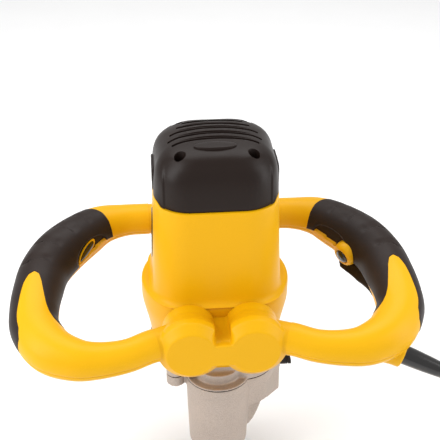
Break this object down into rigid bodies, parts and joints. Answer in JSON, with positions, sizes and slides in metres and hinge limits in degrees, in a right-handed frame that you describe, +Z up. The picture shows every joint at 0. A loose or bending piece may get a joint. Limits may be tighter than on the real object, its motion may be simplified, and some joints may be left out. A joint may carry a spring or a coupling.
{
  "type": "hand-held paddle mixer power head",
  "caption": "Vertical electric motor over a two-speed reduction gearbox, with two closed loop handles, a trigger and a threaded output spindle for a mixing paddle.",
  "frame": {"origin": "centre of the spindle nose's lower end face, at the mouth of its threaded socket", "axes": "+Z up along the spindle, +X to the machine's right seen from the front boss, +Y to the rear"},
  "size_m": [0.5583, 0.208, 0.325],
  "materials": {
    "yellow_plastic": "moulded semi-gloss yellow glass-filled nylon",
    "black_plastic": "black nylon, fine spark-eroded grain",
    "grip_rubber": "soft black overmould, matt",
    "cord_rubber": "smooth black rubber",
    "cast_aluminium": "as-cast, bead-blasted grey",
    "black_steel": "black oxide",
    "bright_steel": "ground steel",
    "laminations": "stacked electrical steel",
    "copper_wire": "varnished copper",
    "carbon": "pressed carbon"
  },
  "bodies": {
    "machine": {"top_cap": "black_plastic", "cap_screws": "black_steel", "brush_caps": "black_plastic", "motor_housing": "yellow_plastic", "side_plate": "black_plastic", "fan_housing": "yellow_plastic", "front_boss": "yellow_plastic", "boss_screws": "black_steel", "rear_bracket": "yellow_plastic", "bracket_screws": "black_steel", "left_lower_shell": "yellow_plastic", "left_upper_shell": "yellow_plastic", "left_grip": "grip_rubber", "left_window": "black_plastic", "right_lower_shell": "yellow_plastic", "right_upper_shell": "yellow_plastic", "right_grip": "grip_rubber", "handle_screws": "black_steel", "lock_bezel": "yellow_plastic", "lock_spring": "bright_steel", "trigger_pin": "bright_steel", "trigger_spring": "bright_steel", "switch_module": "black_plastic", "cord_boot": "cord_rubber", "cord": "cord_rubber", "cord_coil": "cord_rubber", "plug": "cord_rubber", "plug_pins": "bright_steel", "gear_case": "cast_aluminium", "gear_cover": "cast_aluminium", "case_gasket": "cord_rubber", "case_screws": "black_steel", "bearing_plate": "cast_aluminium", "selector_detent": "bright_steel", "shift_rail": "bright_steel", "motor_bearing_lower": "bright_steel", "motor_bearing_upper": "bright_steel", "stator_core": "laminations", "field_coils": "copper_wire", "brush_holders": "bright_steel", "brush_springs": "bright_steel", "counter_bearings": "bright_steel", "spindle_bearing_upper": "bright_steel", "spindle_bearing_lower": "bright_steel", "oil_seal": "cord_rubber"},
    "armature": {"armature_shaft": "bright_steel", "armature_core": "laminations", "armature_windings": "copper_wire", "commutator": "copper_wire", "cooling_fan": "black_plastic"},
    "countershaft": {"countershaft": "bright_steel", "counter_gear": "bright_steel"},
    "spindle": {"spindle": "bright_steel"},
    "cluster": {"gear_cluster": "bright_steel"},
    "selector": {"selector_knob": "black_plastic"},
    "fork": {"shift_fork": "cast_aluminium"},
    "trigger": {"trigger": "black_plastic"},
    "lock_button": {"lock_button": "black_plastic"},
    "brush_left": {"brush_left": "carbon"},
    "brush_right": {"brush_right": "carbon"}
  },
  "joints": [
    {"name": "armature_spin", "type": "hinge", "parent": "machine", "child": "armature", "pos_m": [0, 0.035, 0.2], "axis": [0, 0, 1], "continuous": true},
    {"name": "countershaft_spin", "type": "hinge", "parent": "machine", "child": "countershaft", "pos_m": [0.02317, 0.01594, 0.09], "axis": [0, 0, 1], "continuous": true},
    {"name": "spindle_spin", "type": "hinge", "parent": "machine", "child": "spindle", "pos_m": [0, 0, 0.05], "axis": [0, 0, 1], "continuous": true},
    {"name": "cluster_slide", "type": "slide", "parent": "spindle", "child": "cluster", "axis": [0, 0, 1], "range_m": [0, 0.012]},
    {"name": "selector_turn", "type": "hinge", "parent": "machine", "child": "selector", "pos_m": [0.05, 0.025, 0.093], "axis": [1, 0, 0], "range_deg": [0, 180]},
    {"name": "fork_slide", "type": "slide", "parent": "machine", "child": "fork", "axis": [0, 0, 1], "range_m": [0, 0.012]},
    {"name": "trigger_pull", "type": "hinge", "parent": "machine", "child": "trigger", "pos_m": [0.14767, 0.01376, 0.17159], "axis": [0.751, 0.219, -0.6229], "range_deg": [0, 5], "stiffness_Nm_per_rad": 1, "springref_deg": -5.73, "deforming": ["trigger_spring"]},
    {"name": "lock_press", "type": "slide", "parent": "machine", "child": "lock_button", "axis": [0.8097, 0.5397, 0.2303], "range_m": [0, 0.003], "stiffness_N_per_m": 600, "springref_m": -0.001, "deforming": ["lock_spring"]},
    {"name": "brush_left_feed", "type": "slide", "parent": "machine", "child": "brush_left", "axis": [-1, 0, 0], "range_m": [0, 0.004], "stiffness_N_per_m": 150, "springref_m": -0.005, "deforming": ["brush_springs"]},
    {"name": "brush_right_feed", "type": "slide", "parent": "machine", "child": "brush_right", "axis": [1, 0, 0], "range_m": [0, 0.004], "stiffness_N_per_m": 150, "springref_m": -0.005}
  ],
  "couplings": [
    {"joint": "countershaft_spin", "follows": "armature_spin", "ratio": -0.2},
    {"joint": "spindle_spin", "follows": "armature_spin", "ratio": 0.05},
    {"joint": "selector_turn", "follows": "cluster_slide", "rad_per_m": 261.8},
    {"joint": "fork_slide", "follows": "cluster_slide", "ratio": 1}
  ]
}
